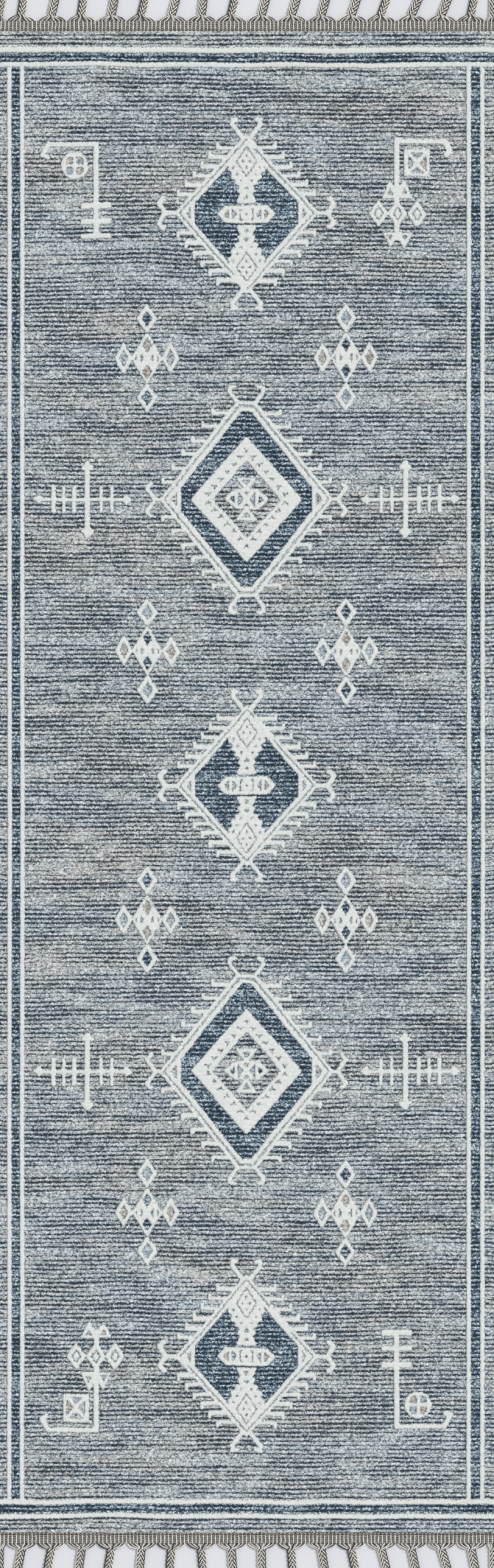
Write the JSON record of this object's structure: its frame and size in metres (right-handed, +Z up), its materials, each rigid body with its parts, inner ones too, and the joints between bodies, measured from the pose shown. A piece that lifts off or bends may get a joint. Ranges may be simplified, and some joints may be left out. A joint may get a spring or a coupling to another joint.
{
  "type": "runner rug",
  "caption": "Long narrow pile rug with geometric medallions in cream on a blue-grey ground, striped borders, flat-woven ends and plaited tassels.",
  "frame": {"origin": "on the floor plane, under the middle of the rug's box, tassels included", "axes": "+X across the rug to the right, +Y along it to the top end, +Z up out of the pile"},
  "size_m": [0.762, 2.4668, 0.009],
  "materials": {
    "ground_pile": "abrash grey, blue-grey and beige wool pile, matt",
    "navy_pile": "variegated navy wool pile, matt",
    "cream_pile": "ivory wool pile, matt",
    "brown_pile": "taupe wool pile, matt",
    "blue_pile": "dusty blue wool pile, matt",
    "ground_weave": "cotton warp and weft, matt",
    "end_band": "flat-woven cotton in cream and charcoal, matt",
    "selvage": "overcast wool, matt",
    "tassel_yarn": "plaited cotton yarn in cream and charcoal, matt"
  },
  "bodies": {
    "root": {"accent_blue": "blue_pile", "accent_brown": "brown_pile", "border_line_inner": "cream_pile", "border_line_outer": "cream_pile", "border_margin": "ground_pile", "border_navy": "navy_pile", "cluster_motifs_lower": "cream_pile", "cluster_motifs_upper": "cream_pile", "comb_motifs": "cream_pile", "corner_motifs_lower": "cream_pile", "corner_motifs_upper": "cream_pile", "end_band_bottom": "end_band", "end_band_top": "end_band", "field_pile": "ground_pile", "ground_weave": "ground_weave", "inset_ground": "ground_pile", "medallion_1": "cream_pile", "medallion_2": "cream_pile", "medallion_3": "cream_pile", "medallion_4": "cream_pile", "medallion_5": "cream_pile", "medallion_grounds": "navy_pile", "selvage_left": "selvage", "selvage_right": "selvage", "tassel_bottom_01": "tassel_yarn", "tassel_bottom_02": "tassel_yarn", "tassel_bottom_03": "tassel_yarn", "tassel_bottom_04": "tassel_yarn", "tassel_bottom_05": "tassel_yarn", "tassel_bottom_06": "tassel_yarn", "tassel_bottom_07": "tassel_yarn", "tassel_bottom_08": "tassel_yarn", "tassel_bottom_09": "tassel_yarn", "tassel_bottom_10": "tassel_yarn", "tassel_bottom_11": "tassel_yarn", "tassel_bottom_12": "tassel_yarn", "tassel_bottom_13": "tassel_yarn", "tassel_bottom_14": "tassel_yarn", "tassel_bottom_15": "tassel_yarn", "tassel_bottom_16": "tassel_yarn", "tassel_bottom_17": "tassel_yarn", "tassel_bottom_18": "tassel_yarn", "tassel_top_01": "tassel_yarn", "tassel_top_02": "tassel_yarn", "tassel_top_03": "tassel_yarn", "tassel_top_04": "tassel_yarn", "tassel_top_05": "tassel_yarn", "tassel_top_06": "tassel_yarn", "tassel_top_07": "tassel_yarn", "tassel_top_08": "tassel_yarn", "tassel_top_09": "tassel_yarn", "tassel_top_10": "tassel_yarn", "tassel_top_11": "tassel_yarn", "tassel_top_12": "tassel_yarn", "tassel_top_13": "tassel_yarn", "tassel_top_14": "tassel_yarn", "tassel_top_15": "tassel_yarn", "tassel_top_16": "tassel_yarn", "tassel_top_17": "tassel_yarn", "tassel_top_18": "tassel_yarn"}
  },
  "joints": []
}
